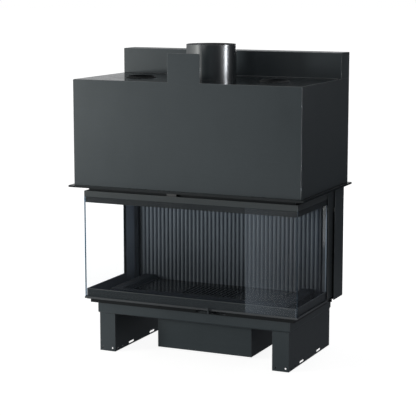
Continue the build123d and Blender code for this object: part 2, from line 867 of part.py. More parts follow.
def pulley():
    """A grooved pulley with a hub and lightening holes."""
    half_width = pulley_width / 2
    half_hub = cheek_inner_half - seat_gap
    wheel = cross_rod(pulley_depth, pulley_z, pulley_rim_radius, cable_x - half_width, cable_x + half_width)
    groove_radius = pulley_pitch_radius - cable_radius - seat_gap
    half_groove = pulley_groove_width / 2
    ring_radius = pulley_rim_radius + overrun
    ring = cross_rod(pulley_depth, pulley_z, ring_radius, cable_x - half_groove, cable_x + half_groove)
    low_x = cable_x - overrun
    high_x = cable_x + overrun
    wheel -= ring - cross_rod(pulley_depth, pulley_z, groove_radius, low_x, high_x)
    wheel += cross_rod(pulley_depth, pulley_z, pulley_hub_radius, cable_x - half_hub, cable_x + half_hub)
    for index in range(pulley_hole_count):
        angle = 2 * pi * index / pulley_hole_count
        depth = pulley_depth + pulley_hole_circle * cos(angle)
        z = pulley_z + pulley_hole_circle * sin(angle)
        wheel -= cross_rod(depth, z, pulley_hole_radius, low_x, high_x)
    return wheel - cross_rod(pulley_depth, pulley_z, axle_radius + running_gap, low_x, high_x)


def cable_arc():
    """The half turn of the lift cable over its pulley."""
    ring = Rot(0, 90, 0) * Torus(pulley_pitch_radius, cable_radius)
    ring = Pos(cable_x, behind(pulley_depth), pulley_z) * ring
    reach = pulley_rim_radius + overrun
    front = pulley_depth - reach
    rear = pulley_depth + reach
    return ring & block(cable_x - reach, cable_x + reach, front, rear, pulley_z, pulley_z + reach)


def cable_front():
    """The straight run of the lift cable from the carriage up to the pulley."""
    return post(cable_x, rail_depth, cable_radius, carriage_top_z + ferrule_height, pulley_z)


def cable_rear():
    """The straight run of the lift cable from the pulley down to the counterweight."""
    return post(cable_x, weight_depth, cable_radius, weight_top_z + ferrule_height, pulley_z)


def counterweight():
    """The steel bar that balances the door, with the cable's ferrule on top."""
    front = weight_depth - weight_half_depth
    rear = weight_depth + weight_half_depth
    bar = block(cable_x - weight_half, cable_x + weight_half, front, rear, weight_bottom_z, weight_top_z)
    bar = chamfer(bar.edges(), weight_corner)
    ferrule_top_z = weight_top_z + ferrule_height
    return bar + post(cable_x, weight_depth, ferrule_radius, weight_top_z - overrun, ferrule_top_z)


# Door


def door_top_bar():
    """The metal bar above the panes, with the rail behind them that they are bonded to."""
    bar = three_sided(door_half, door_front_depth, top_bar_depth, door_rear_depth, glass_top_z, door_top_z)
    half = door_half - glass
    front = glass_back_depth
    return bar + three_sided(half, front, rail_thickness, door_rear_depth, rail_bottom_z, glass_top_z)


def front_pane():
    """The front pane, whose ends cover the front edges of the side panes."""
    return block(-door_half, door_half, door_front_depth, glass_back_depth, glass_bottom_z, glass_top_z)


def side_pane():
    """One side pane."""
    return block(door_half - glass, door_half, glass_back_depth, door_rear_depth, glass_bottom_z, glass_top_z)


def door_bottom_bar():
    """The bright bar that holds the lower edges of the panes."""
    outer = door_half + bottom_bar_reach
    front = door_front_depth - bottom_bar_reach
    width = bottom_bar_reach + glass
    bar = three_sided(outer, front, width, door_rear_depth, bottom_bar_bottom_z, glass_bottom_z)
    lip_top_z = glass_bottom_z + bottom_bar_lip
    return bar + three_sided(outer, front, bottom_bar_reach, door_rear_depth, bottom_bar_bottom_z, lip_top_z)


def door_seal():
    """The soft seal between the door and the fixed frame."""
    run_half = door_half - top_bar_depth
    run_front = door_front_depth + top_bar_depth
    run_low = seal_top_z - seal_run_height
    seal = three_sided(run_half, run_front, seal_run_thickness, seal_end_depth, run_low, seal_top_z)
    low_z = glass_bottom_z + bottom_bar_lip
    run_inner = run_half - seal_run_thickness
    for side in (-1, 1):
        near = side * seal_inner_x
        far = side * door_half
        seal += block(min(near, far), max(near, far), door_rear_depth, seal_end_depth, low_z, door_top_z)
        near = side * run_inner
        seal += block(min(near, far), max(near, far), door_rear_depth, seal_end_depth, run_low, seal_top_z)
    return seal


def door_catch():
    """The small catch on top of the door that its lock tool grips."""
    rear = catch_front_depth + catch_thickness
    return block(catch_left_x, catch_right_x, catch_front_depth, rear, door_top_z, door_top_z + catch_height)


save_pair("leg", leg())
save("base_tray", base_tray())
save("leg_bolts", Compound([bolt(x, depth) for x in (-bolt_x, bolt_x) for depth in bolt_depths]))
save("air_box", air_box())
save("lower_frame", lower_frame())
save("air_lever", air_lever())
save("hearth_pan", hearth_pan())
save("grate", grate())
save("ash_pan", ash_pan())
save("firebox_back", firebox_back())
save_pair("side_wall", side_wall())
save_pair("side_lining", side_lining())
for plate in range(plate_count):
    save("back_lining_" + str(plate + 1), back_lining(plate))
save("upper_frame", upper_frame())
save("baffle_lower", baffle(lower_baffle_front_depth, back_plate_depth - neck_wall - baffle_gap, lower_ledge_z))
save("baffle_upper", baffle(neck_front_depth + neck_wall + baffle_gap, upper_baffle_rear_depth, upper_ledge_z))
save("smoke_dome", smoke_dome())
save("flue_collar", flue_collar())
save("housing_front", housing_front())
save_pair("housing_side", housing_side())
save("housing_roof", housing_roof())
save_pair("convection_rim", convection_rim())
save("rear_panel", rear_panel())
save("bottom_flange", bottom_flange())
save("tower_wrap", tower_wrap())
save("tower_lid", tower_lid())
save_pair("shaft_cover", shaft_cover())
save_pair("guide_rail", guide_rail())
save_pair("lift_carriage", lift_carriage())
save_pair("pulley_bracket", pulley_bracket())
save_pair("pulley", pulley())
save_pair("cable_arc", cable_arc())
save_pair("cable_front", cable_front())
save_pair("cable_rear", cable_rear())
save_pair("counterweight", counterweight())
save("door_top_bar", door_top_bar())
save("front_pane", front_pane())
save_pair("side_pane", side_pane())
save("door_bottom_bar", door_bottom_bar())
save("door_seal", door_seal())
save("door_catch", door_catch())
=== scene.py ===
"""Looks of a three-sided fireplace insert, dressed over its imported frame, with a plain studio."""

import json
import math

import bmesh
import bpy
from bpy.props import FloatProperty, FloatVectorProperty, IntProperty, PointerProperty
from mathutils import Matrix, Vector


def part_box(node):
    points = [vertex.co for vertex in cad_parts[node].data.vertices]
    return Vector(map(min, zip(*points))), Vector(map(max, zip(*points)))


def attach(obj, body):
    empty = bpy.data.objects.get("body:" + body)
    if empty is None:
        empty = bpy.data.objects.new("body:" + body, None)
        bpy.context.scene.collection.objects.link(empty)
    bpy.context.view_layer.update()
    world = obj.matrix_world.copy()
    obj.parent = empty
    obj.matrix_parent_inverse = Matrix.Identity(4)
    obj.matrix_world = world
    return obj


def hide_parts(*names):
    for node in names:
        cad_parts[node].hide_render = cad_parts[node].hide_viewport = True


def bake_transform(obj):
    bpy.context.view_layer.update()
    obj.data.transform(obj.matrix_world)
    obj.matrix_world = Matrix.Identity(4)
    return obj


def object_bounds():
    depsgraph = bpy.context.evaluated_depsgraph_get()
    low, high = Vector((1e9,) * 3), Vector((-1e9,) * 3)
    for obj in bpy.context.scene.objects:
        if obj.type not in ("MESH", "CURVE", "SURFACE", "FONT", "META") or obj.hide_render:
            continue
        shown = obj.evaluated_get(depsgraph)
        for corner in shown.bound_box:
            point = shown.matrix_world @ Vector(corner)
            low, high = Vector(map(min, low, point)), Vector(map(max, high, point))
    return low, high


bl_info = {
    "name": "Three-sided fireplace",
    "version": (1, 0, 0),
    "blender": (4, 5, 0),
    "location": "3D View > Sidebar > Fireplace",
    "description": "Dresses the packed three-sided fireplace and sets up its studio",
    "category": "Add Mesh",
}

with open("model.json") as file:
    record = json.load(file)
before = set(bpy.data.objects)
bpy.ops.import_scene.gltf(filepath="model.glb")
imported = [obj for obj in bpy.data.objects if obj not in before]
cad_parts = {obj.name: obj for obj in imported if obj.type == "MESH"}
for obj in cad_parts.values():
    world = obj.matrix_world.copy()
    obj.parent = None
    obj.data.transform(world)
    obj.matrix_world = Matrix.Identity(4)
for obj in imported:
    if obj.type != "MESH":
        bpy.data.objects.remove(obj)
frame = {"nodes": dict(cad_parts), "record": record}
CAD_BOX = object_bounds()
FLOOR_Z = CAD_BOX[0].z
EDGE_LAYER = "edge_band"
LEFT_AND_RIGHT = ("left", "right")

# Places on the pieces that the finishes follow, in metres
RIB_DEPTH = 0.005
BAND_WALL = 0.003
RIM_FOOT = 0.2425
SMOKE_FILM_HEIGHT = 0.30
# Where the painted reflection on the front pane begins
REFLECTION_EDGE = 0.246

# Where a corner board bends, as a share of its depth
CORNER_BEND = 0.64

# Limits of the mesh work: distance of welded corners, angles, and how flat a pane's face lies
WELD = 0.000004
FLAT_ANGLE = math.radians(0.5)
EDGE_ANGLE = math.radians(32.0)
SMOOTH_ANGLE = math.radians(38.0)
ALONG_A_FACE = 0.999

# Rivets: distance from the sheet's edges, depth sunk, faces round, and the dome in shares of the radius
RIVET_INSET = 0.012
RIVET_SUNK = 0.0004
RIVET_FACES = 14
RIVET_DOME = ((0.12, 1.0), (0.34, 0.88), (0.50, 0.60), (0.56, 0.25))

# Faces round a cable
CABLE_FACES = 12

# Colours of what lies on the finishes, and of the painted light, shade and reflection on them
WHITE = (1.0, 1.0, 1.0)
DUST = (0.20, 0.20, 0.19)
RIM_HIGHLIGHT = (0.150, 0.158, 0.160)
SHADE_BELOW_BAR = (0.008, 0.009, 0.010)
BAND_PAINTED_LIGHT = (0.17, 0.19, 0.23)
TRENCH_ASH_AND_LIGHT = (0.26, 0.27, 0.29)
HEARTH_ASH = (0.16, 0.16, 0.155)
BAR_TONE_BELOW_PANES = (0.012, 0.014, 0.017)
BAR_TONE_ABOVE_PANES = (0.120, 0.132, 0.135)
OIL_SPOT = (0.16, 0.11, 0.08)
CLEAR_GLASS = (0.998, 1.0, 1.0)
SMOKE_HAZE_AND_REFLECTION = (0.40, 0.47, 0.57)

# Stretch of a pattern that is the same along the three axes
EVEN = (1.0, 1.0, 1.0)

# The floor: how far it lies under the feet, its radius, its sides, and where its shadow fades out
FLOOR_GAP = 0.0004
FLOOR_RADIUS = 60.0
FLOOR_SIDES = 96
SHADOW_NEAR = 0.9
SHADOW_FAR = 4.0

# Each lamp: name, setting of its power, place, target, width and height, colour
LAMPS = (
    ("key_light", "key", (-3.60, -2.90, 0.92), (0.0, -0.1, 0.86), (1.2, 0.5), (0.98, 1.0, 0.96)),
    ("rear_light", "rear", (0.0, 4.4, 1.3), (0.0, 0.2, 0.7), (1.6, 1.6), WHITE),
    ("top_light", "top", (-0.3, -0.6, 3.2), (0.0, 0.0, 0.6), (2.2, 2.2), WHITE),
)

# Each card: name, place, direction it faces, width and height, colour it sends out
CARDS = (
    ("dark_card_right", (1.55, 1.35, 0.75), (-0.60, -0.80, 0.0), (3.4, 2.6), (0.030, 0.034, 0.040)),
    ("dark_card_low", (1.6, 0.9, 0.001), (0.0, 0.0, 1.0), (3.96, 3.4), (0.10, 0.105, 0.115)),
    ("strip_card_right", (2.5, 0.12, 1.0), (-1.0, 0.0, 0.0), (0.36, 2.4), (32.0, 33.0, 34.5)),
    ("grey_card_behind", (-1.9, 3.4, 1.95), (0.45, -0.89, 0.0), (5.5, 1.7), (0.56, 0.57, 0.58)),
    ("dark_card_ahead", (2.0, -1.6, 1.35), (0.0, 1.0, 0.0), (4.1, 1.5), (0.11, 0.12, 0.13)),
    ("dark_card_front", (-1.183, -1.0, 0.252), (0.0, 1.0, 0.0), (2.2, 0.504), (0.004, 0.004, 0.005)),
)

# The camera, solved from the photograph, with its lens and sensor in millimetres
CAMERA_PLACE = (2.3599, -5.22935, 1.5255)
CAMERA_TARGET = (0.10385, -0.25925, 0.63676)
CAMERA_LENS = 124.24
CAMERA_SENSOR = 36.0
CAMERA_REACH = 200.0


# Settings


def colour_setting(name, text, default):
    """A colour that a user may change."""
    return FloatVectorProperty(
        name=name, description=text, default=default, size=3, subtype="COLOR", min=0.0, max=1.0
    )


def length_setting(name, text, default):
    """A length in metres that a user may change."""
    return FloatProperty(
        name=name, description=text, default=default, min=0.0, subtype="DISTANCE", unit="LENGTH", precision=5
    )


def power_setting(name, text, default):
    """The power of a lamp, which a user may change."""
    return FloatProperty(name=name, description=text, default=default, min=0.0, unit="POWER")


def share_setting(name, text, default):
    """A share from 0 to 1 that a user may change."""
    return FloatProperty(name=name, description=text, default=default, min=0.0, max=1.0, subtype="FACTOR")


class FireplaceFinishes(bpy.types.PropertyGroup):
    """Colours and gloss of the fireplace's finishes"""

    housing: colour_setting(
        "Housing paint", "Paint of the housing, tower, base and legs", (0.056, 0.068, 0.076)
    )
    door_frame: colour_setting(
        "Door paint", "Paint of the door bar and the lower frame", (0.046, 0.054, 0.060)
    )
    liner: colour_setting("Liner paint", "Heat paint of the inner steel sheets", (0.013, 0.015, 0.017))
    lining: colour_setting("Lining", "Ribbed boards of the firebox", (0.104, 0.127, 0.160))
    # This colour also paints shade: in the grooves of the ribbed boards and behind the corner boards' bend.
    soot_and_shade: colour_setting("Soot", "Soot low on the linings and in their grooves", (0.011, 0.015, 0.022))
    cast: colour_setting("Cast iron", "Hearth and grate", (0.012, 0.015, 0.018))
    # This colour also paints a highlight along every edge of the paint.
    worn_metal_and_edge_highlight: colour_setting(
        "Worn edge", "Metal that shows where paint has rubbed off", (0.200, 0.210, 0.215)
    )
    steel: colour_setting("Bare steel", "Rails, cables, pulleys and counterweights", (0.520, 0.530, 0.540))
    trim: colour_setting("Bright trim", "Thin bar below the panes", (0.080, 0.086, 0.092))
    zinc: colour_setting("Zinc", "Brackets and ash pan", (0.480, 0.500, 0.510))
    seal: colour_setting("Seal", "Braided seal of the door", (0.060, 0.060, 0.058))
    glass_edge: colour_setting("Glass edge", "Tint of the polished edges of the panes", (0.020, 0.090, 0.160))
    paint_roughness: share_setting("Paint roughness", "Roughness of the housing paint", 0.34)
    paint_gloss: share_setting("Paint gloss", "Specular level of the housing paint", 0.22)
    pane_gloss: share_setting("Pane gloss", "Reflection of a pane seen head-on", 0.003)


class FireplaceEdges(bpy.types.PropertyGroup):
    """Edge radii of the fireplace's pieces"""

    sheet: length_setting("Sheet edge", "Radius at the edges of thin sheets", 0.0012)
    bent: length_setting("Plate edge", "Radius at the edges of thick plates and legs", 0.0011)
    cast: length_setting("Cast edge", "Radius at the edges of cast pieces", 0.0018)
    small: length_setting("Small edge", "Radius at the edges of small fittings", 0.0003)
    pane: length_setting("Pane edge", "Ground arris of the panes", 0.0004)
    steps: IntProperty(
        name="Edge steps", description="Faces across each rounded edge", default=2, min=1, max=6
    )
    rivet: length_setting("Rivet radius", "Radius of the rivets on the rear sheet", 0.0035)
    rivet_pitch: length_setting("Rivet pitch", "Spacing of the rivets on the rear sheet", 0.085)


class FireplaceStudio(bpy.types.PropertyGroup):
    """Light levels of the studio"""

    key: power_setting("Key light", "Power of the soft light at the front left", 117.0)
    rear: power_setting("Rear light", "Power of the soft light behind", 60.0)
    top: power_setting("Top light", "Power of the soft light above", 1.0)
    fill: FloatProperty(
        name="Ambient level", description="Strength of the world on surfaces", default=0.225, min=0.0
    )
    floor: share_setting("Floor colour", "Diffuse colour of the floor", 0.40)
    floor_glow: share_setting("Floor level", "Level that the floor shows besides its light", 0.90)


# Node maths


class Signal:
    """One value of a finish's node tree, which ordinary arithmetic combines."""

    def __init__(self, finish, socket):
        self.finish = finish
        self.socket = socket

    def maths(self, operation, *values):
        """A Math node on these values."""
        return self.finish.add("ShaderNodeMath", {"operation": operation}, dict(enumerate(values)))

    def __add__(self, other):
        return self.maths("ADD", self, other)

    __radd__ = __add__

    def __sub__(self, other):
        return self.maths("SUBTRACT", self, other)

    def __rsub__(self, other):
        return self.maths("SUBTRACT", other, self)

    def __mul__(self, other):
        return self.maths("MULTIPLY", self, other)

    __rmul__ = __mul__

    def __pow__(self, other):
        return self.maths("POWER", self, other)

    def __abs__(self):
        return self.maths("ABSOLUTE", self)

    def larger(self, other):
        """The larger of two values."""
        return self.maths("MAXIMUM", self, other)

    def above(self, low, high):
        """0 below low and 1 above high, with a smooth step between."""
        settings = {"interpolation_type": "SMOOTHSTEP"}
        values = {"Value": self, "From Min": low, "From Max": high}
        return self.finish.add("ShaderNodeMapRange", settings, values)


class Finish:
    """A material that is written as expressions."""

    last_node = "ShaderNodeOutputMaterial"

    def __init__(self, name):
        self.owner = self.new_owner(name)
        self.owner.use_nodes = True
        self.tree = self.owner.node_tree
        self.tree.nodes.clear()

    def new_owner(self, name):
        """The new material."""
        return bpy.data.materials.new(name)

    def add(self, kind, settings=None, values=None, output=0):
        """A node with its settings made first and its sockets filled next, as the signal of one output."""
        node = self.tree.nodes.new(kind)
        for key, setting in (settings or {}).items():
            setattr(node, key, setting)
        for key, value in (values or {}).items():
            socket = node.inputs[key]
            if isinstance(value, Signal):
                self.tree.links.new(value.socket, socket)
            elif isinstance(value, tuple) and len(value) == 3 and socket.type == "RGBA":
                socket.default_value = (*value, 1.0)
            else:
                socket.default_value = value
        return Signal(self, node.outputs[output])

    def place(self, stretch=EVEN):
        """The place on the piece, in metres, stretched along the axes."""
        here = self.add("ShaderNodeTexCoord", output="Object")
        return self.add("ShaderNodeVectorMath", {"operation": "MULTIPLY"}, {0: here, 1: stretch})

    def axis(self, name):
        """One coordinate of the place on the piece, in metres."""
        here = self.add("ShaderNodeTexCoord", output="Object")
        return self.add("ShaderNodeSeparateXYZ", None, {0: here}, output=name)

    def noise(self, scale, detail=3.0, stretch=EVEN):
        """Noise from 0 to 1 on the piece."""
        values = {"Vector": self.place(stretch), "Scale": scale, "Detail": detail, "Roughness": 0.55}
        return self.add("ShaderNodeTexNoise", {"noise_dimensions": "3D"}, values)

    def cells(self, scale, feature="F1", output="Distance"):
        """Cells on the piece."""
        values = {"Vector": self.place(), "Scale": scale}
        return self.add("ShaderNodeTexVoronoi", {"feature": feature}, values, output=output)

    def stripes(self, scale, stretch, distortion=0.0):
        """Slanting stripes from 0 to 1 on the piece."""
        values = {"Vector": self.place(stretch), "Scale": scale, "Distortion": distortion}
        return self.add("ShaderNodeTexWave", {"bands_direction": "DIAGONAL"}, values, output="Fac")

    def turned_away(self):
        """0 where the surface is seen head-on and 1 where it is seen along itself."""
        return self.add("ShaderNodeLayerWeight", None, {"Blend": 0.5}, output="Facing")

    def shown(self):
        """1 for rays that show what they meet and 0 for rays that only bring light."""
        rays = [
            self.add("ShaderNodeLightPath", output=ray)
            for ray in ("Is Camera Ray", "Is Glossy Ray", "Is Transmission Ray")
        ]
        return rays[0].larger(rays[1]).larger(rays[2])

    def edges(self):
        """1 on the rounded edges of a piece and 0 elsewhere."""
        settings = {"attribute_type": "GEOMETRY", "attribute_name": EDGE_LAYER}
        return self.add("ShaderNodeAttribute", settings, output="Fac")

    def facing_up(self):
        """1 where the surface faces up and 0 where it stands upright or faces down."""
        normal = self.add("ShaderNodeNewGeometry", output="Normal")
        height = self.add("ShaderNodeSeparateXYZ", None, {0: normal}, output="Z")
        return height.above(0.6, 0.95)

    def blend(self, share, first, second):
        """A colour between two colours."""
        settings = {"data_type": "RGBA", "blend_type": "MIX"}
        return self.add("ShaderNodeMix", settings, {0: share, 6: first, 7: second}, output=2)

    def bump(self, height, strength, distance):
        """The surface direction with a relief on it."""
        values = {"Height": height, "Strength": strength, "Distance": distance}
        return self.add("ShaderNodeBump", None, values)

    def surface(self, **sockets):
        """A principled surface. Underscores stand for the spaces in its sockets' names."""
        values = {key.replace("_", " "): value for key, value in sockets.items()}
        return self.add("ShaderNodeBsdfPrincipled", None, values)

    def done(self, shader):
        """Ends the nodes with this shader and hands over what they belong to."""
        output = self.tree.nodes.new(self.last_node)
        self.tree.links.new(shader.socket, output.inputs["Surface"])
        return self.owner


class WorldFinish(Finish):
    """The world, written in the same way."""

    last_node = "ShaderNodeOutputWorld"

    def new_owner(self, name):
        """The new world."""
        return bpy.data.worlds.new(name)


def settings_of(context):
    """The three groups of settings."""
    scene = context.scene
    return scene.fireplace_finishes, scene.fireplace_edges, scene.fireplace_studio


def shade(colour, level):
    """A colour made lighter or darker."""
    return tuple(min(1.0, part * level) for part in colour)


# Finishes


def paint(name, colour, worn_and_edge_highlight, roughness, gloss, grain=0.20, dust=0.10, extra=None):
    """Fine-textured stove paint, with uneven sheen, faint wiping marks, rubbed edges, a painted highlight
    along every edge, and dust on top.
    """
    f = Finish(name)
    cloud = f.noise(4.0, 4.0)
    drift = f.noise(17.0, 3.0, (1.0, 1.0, 0.35))
    grit = f.noise(430.0, 4.0)
    peel = f.noise(1150.0, 2.0)
    pores = f.cells(2600.0)
    tone = f.blend(cloud, shade(colour, 0.90), shade(colour, 1.10))
    tone = f.blend((drift - 0.5) * 0.3 + 0.15, tone, shade(colour, 1.3))
    tone = f.blend(grit.above(0.52, 0.70) * 0.35, tone, shade(colour, 1.32))
    wiped_with_reflection = f.noise(34.0, 2.0, (0.05, 0.05, 1.0)) - 0.5
    marks = 1.0 - abs(wiped_with_reflection).above(0.0, 0.012)
    tone = f.blend(marks * cloud * 0.22, tone, shade(colour, 1.5))
    rubbed = f.edges() * f.noise(48.0, 4.0).above(0.50, 0.66)
    # Rubbed patches on the edges, and a painted highlight along every edge, both in the colour of rubbed
    # metal.
    tone = f.blend(rubbed * 0.35 + f.edges() * 0.30, tone, worn_and_edge_highlight)
    dusty = f.facing_up() * f.noise(26.0, 5.0).above(0.42, 0.8)
    tone = f.blend(dusty * dust, tone, DUST)
    if extra:
        tone = extra(f, tone)
    rough = (cloud - 0.5) * 0.10 + (drift - 0.5) * 0.08 + dusty * 0.12 - marks * 0.02 + roughness
    relief = grit * 0.45 + peel * 0.35 + pores * 0.2
    return f.done(
        f.surface(
            Base_Color=tone,
            Roughness=rough - rubbed * 0.08,
            Metallic=rubbed * 0.5,
            Specular_IOR_Level=gloss,
            Normal=f.bump(relief * (1.0 - f.edges()), grain, 0.0005),
        )
    )


def ash_and_painted_light_on_frame(f, tone):
    """Ash in the lower frame's trench, lightened as painted light; the band's inner face painted lighter; a
    painted rim highlight; painted shade below the bar.
    """
    low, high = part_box("lower_frame")
    bar_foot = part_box("door_bottom_bar")[0].z
    height = f.axis("Z")
    reach = abs(f.axis("X"))
    face = high.x - BAND_WALL
    inner = reach.above(face - 0.002, face - 0.001) * (1.0 - reach.above(face + 0.0005, face + 0.0015))
    floor = f.facing_up() * (1.0 - height.above(low.z + 0.004, low.z + 0.006))
    rim = height.above(high.z - 0.0035, high.z - 0.0020) * (1.0 - f.facing_up())
    shade_below_bar = 1.0 - height.above(bar_foot - 0.001, bar_foot + 0.001)
    patches = f.noise(17.0, 4.0)
    # A painted highlight along the rim of the band, in patches.
    tone = f.blend(rim * (0.3 + 0.4 * patches), tone, RIM_HIGHLIGHT)
    # Painted shade in a strip below the door's bar.
    tone = f.blend(shade_below_bar * (0.6 + 0.3 * patches), tone, SHADE_BELOW_BAR)
    # The inner face of the band painted lighter: painted light on a face in shade.
    tone = f.blend(inner * (0.65 + 0.3 * patches), tone, BAND_PAINTED_LIGHT)
    # Pale ash on the trench floor, made paler as painted light in the shaded trench.
    return f.blend(floor * (0.5 + 0.4 * patches), tone, TRENCH_ASH_AND_LIGHT)


def bar_tones_by_panes(f, tone):
    """The door bar is darker, in blotches, below the top edge of the panes and paler above it."""
    glass_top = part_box("front_pane")[1].z
    above = f.axis("Z").above(glass_top - 0.001, glass_top + 0.001)
    blotches = f.noise(11.0, 4.0, (1.0, 1.0, 0.4))
    tone = f.blend((1.0 - above) * (0.50 + 0.3 * blotches), tone, BAR_TONE_BELOW_PANES)
    return f.blend(above * 0.30, tone, BAR_TONE_ABOVE_PANES)


def flue_enamel(name, colour, worn_and_edge_highlight):
    """Glossy enamel of the flue spigot, rougher on the side that faces the tab, where the tab's shadow is
    also painted.
    """
    f = Finish(name)
    low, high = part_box("flue_collar")
    middle = (low.x + high.x) / 2
    cloud = f.noise(6.0, 3.0)
    orange_peel = f.noise(700.0, 2.0)
    dull_and_shaded = 1.0 - f.axis("X").above(middle - 0.035, middle + 0.010)
    tone = f.blend(cloud, shade(colour, 0.88), shade(colour, 1.14))
    # Painted shadow of the tab on the flue's side that faces it.
    tone = f.blend(dull_and_shaded * 0.5, tone, shade(colour, 0.6))
    tone = f.blend(f.edges() * f.noise(60.0, 3.0).above(0.4, 0.6) * 0.5, tone, worn_and_edge_highlight)
    return f.done(
        f.surface(
            Base_Color=tone,
            Roughness=0.26 + dull_and_shaded * 0.32 + (cloud - 0.5) * 0.06,
            Specular_IOR_Level=0.90,
            Normal=f.bump(orange_peel, 0.02, 0.0003),
        )
    )


def ribbed_board(name, colour, soot_and_shade):
    """Moulded lining board, darker towards the bottom, with painted shade in its grooves that leaves the
    crests paler.
    """
    f = Finish(name)
    low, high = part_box("back_lining_2")
    crest_y, groove_y = low.y, low.y + RIB_DEPTH
    depth = f.axis("Y")
    groove = depth.above(crest_y + RIB_DEPTH * 0.30, groove_y)
    height = f.axis("Z")
    patches = f.noise(9.0, 5.0, (1.0, 1.0, 0.30))
    darker_low = 1.0 - (height + (patches - 0.5) * 0.12).above(low.z, high.z - 0.06)
    grain = f.noise(420.0, 4.0)
    specks = f.cells(900.0)
    tone = f.blend(f.noise(55.0, 3.0, (1.0, 1.0, 0.2)), shade(colour, 0.82), shade(colour, 1.14))
    tone = f.blend(grain.above(0.55, 0.75) * 0.25, tone, shade(colour, 1.35))
    # Painted shade in the grooves between the ribs.
    tone = f.blend(groove * 0.58, tone, soot_and_shade)
    # The board darker towards the bottom.
    tone = f.blend(darker_low * 0.86, tone, soot_and_shade)
    relief = grain * 0.6 + specks * 0.4
    return f.done(
        f.surface(
            Base_Color=tone,
            Roughness=0.58 + (grain - 0.5) * 0.2 - darker_low * 0.10,
            Specular_IOR_Level=0.42,
            Normal=f.bump(relief, 0.35, 0.0006),
        )
    )


def corner_board(name, colour, soot_and_shade):
    """Smooth corner board, darker low down, with painted shade behind its bend, where heat has glossed the
    right one.
    """
    f = Finish(name)
    low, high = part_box("side_lining_left")
    bend = low.y + CORNER_BEND * (high.y - low.y)
    behind = f.axis("Y").above(bend, bend + 0.004)
    streaks = f.noise(9.0, 5.0, (1.0, 1.0, 0.2))
    darker_low = 1.0 - (f.axis("Z") + (streaks - 0.5) * 0.2).above(low.z - 0.12, high.z - 0.10)
    grain = f.noise(420.0, 4.0)
    burnt_clean = f.axis("X").above(-0.1, 0.1) * (1.0 - darker_low) * behind
    tone = f.blend(grain, shade(colour, 0.88), shade(colour, 1.12))
    # The board darker towards the bottom.
    tone = f.blend(darker_low * 0.85, tone, soot_and_shade)
    # Painted shade behind the bend, for the gap between the boards.
    tone = f.blend(behind * 0.92, tone, soot_and_shade)
    return f.done(
        f.surface(
            Base_Color=tone,
            Roughness=0.60 - burnt_clean * 0.36 + (grain - 0.5) * 0.06,
            Specular_IOR_Level=0.24,
            Coat_Weight=burnt_clean * 0.8,
            Coat_IOR=1.9,
            Coat_Roughness=0.12,
            Normal=f.bump(grain, 0.04, 0.0004),
        )
    )


def cast_iron(name, colour, soot_and_shade):
    """Cast iron with a sand-cast skin, rubbed corners, a darker rim and ash lying on it."""
    f = Finish(name)
    skin = f.noise(320.0, 5.0)
    lumps = f.noise(60.0, 4.0)
    ash = f.facing_up() * f.noise(21.0, 5.0).above(0.46, 0.8)
    rim = f.axis("Z").above(RIM_FOOT, RIM_FOOT + 0.004)
    tone = f.blend(lumps, shade(colour, 0.78), shade(colour, 1.22))
    tone = f.blend(f.noise(7.0, 3.0).above(0.4, 0.7) * 0.35, tone, soot_and_shade)
    # The rim darker.
    tone = f.blend(rim * 0.7, tone, soot_and_shade)
    tone = f.blend(f.edges() * (0.2 + 0.3 * lumps), tone, shade(colour, 2.1))
    tone = f.blend(ash * 0.06, tone, HEARTH_ASH)
    relief = skin * 0.55 + lumps * 0.45
    return f.done(
        f.surface(
            Base_Color=tone,
            Roughness=0.17 + (skin - 0.5) * 0.06 + ash * 0.12 + rim * 0.60,
            Metallic=f.edges() * 0.3,
            Specular_IOR_Level=0.10,
            Normal=f.bump(relief, 0.05, 0.0002),
        )
    )


def machined_steel(name, colour, stretch):
    """Bare steel with fine drawing marks along it and a thin film of oil."""
    f = Finish(name)
    marks = f.noise(900.0, 3.0, stretch)
    film = f.noise(24.0, 4.0)
    spots = f.cells(160.0).above(0.02, 0.20)
    tone = f.blend(marks, shade(colour, 0.72), shade(colour, 1.12))
    tone = f.blend(film.above(0.45, 0.75) * 0.35, tone, shade(colour, 0.55))
    tone = f.blend((1.0 - spots) * 0.5, tone, OIL_SPOT)
    return f.done(
        f.surface(
            Base_Color=tone,
            Roughness=0.34 + (marks - 0.5) * 0.18 + film * 0.10,
            Metallic=1.0,
            Normal=f.bump(marks, 0.10, 0.0003),
        )
    )


def galvanised(name, colour):
    """Zinc-coated sheet with spangles of different tone and gloss."""
    f = Finish(name)
    spangle = f.cells(95.0, output="Color")
    tone_of = f.add("ShaderNodeSeparateColor", None, {0: spangle}, output="Red")
    gloss_of = f.add("ShaderNodeSeparateColor", None, {0: spangle}, output="Green")
    rim = f.cells(95.0, feature="DISTANCE_TO_EDGE").above(0.0, 0.05)
    tone = f.blend(tone_of, shade(colour, 0.66), shade(colour, 1.1))
    tone = f.blend(f.noise(12.0, 4.0).above(0.5, 0.8) * 0.3, tone, shade(colour, 0.5))
    return f.done(
        f.surface(
            Base_Color=tone,
            Roughness=0.30 + gloss_of * 0.22,
            Metallic=0.92 + 0.08 * rim,
            Normal=f.bump(rim, 0.12, 0.0003),
        )
    )


def bright_trim(name, colour):
    """Thin bar of brushed stainless steel, darkened by heat in places."""
    f = Finish(name)
    brushing = f.noise(1500.0, 2.0, (0.02, 0.02, 1.0))
    heat = f.noise(5.0, 3.0)
    tone = f.blend(brushing, shade(colour, 0.78), shade(colour, 1.15))
    tone = f.blend(heat.above(0.45, 0.7) * 0.4, tone, shade(colour, 0.6))
    return f.done(
        f.surface(
            Base_Color=tone,
            Roughness=0.34 + (brushing - 0.5) * 0.2 + heat * 0.08,
            Metallic=0.6,
            Normal=f.bump(brushing, 0.08, 0.0002),
        )
    )


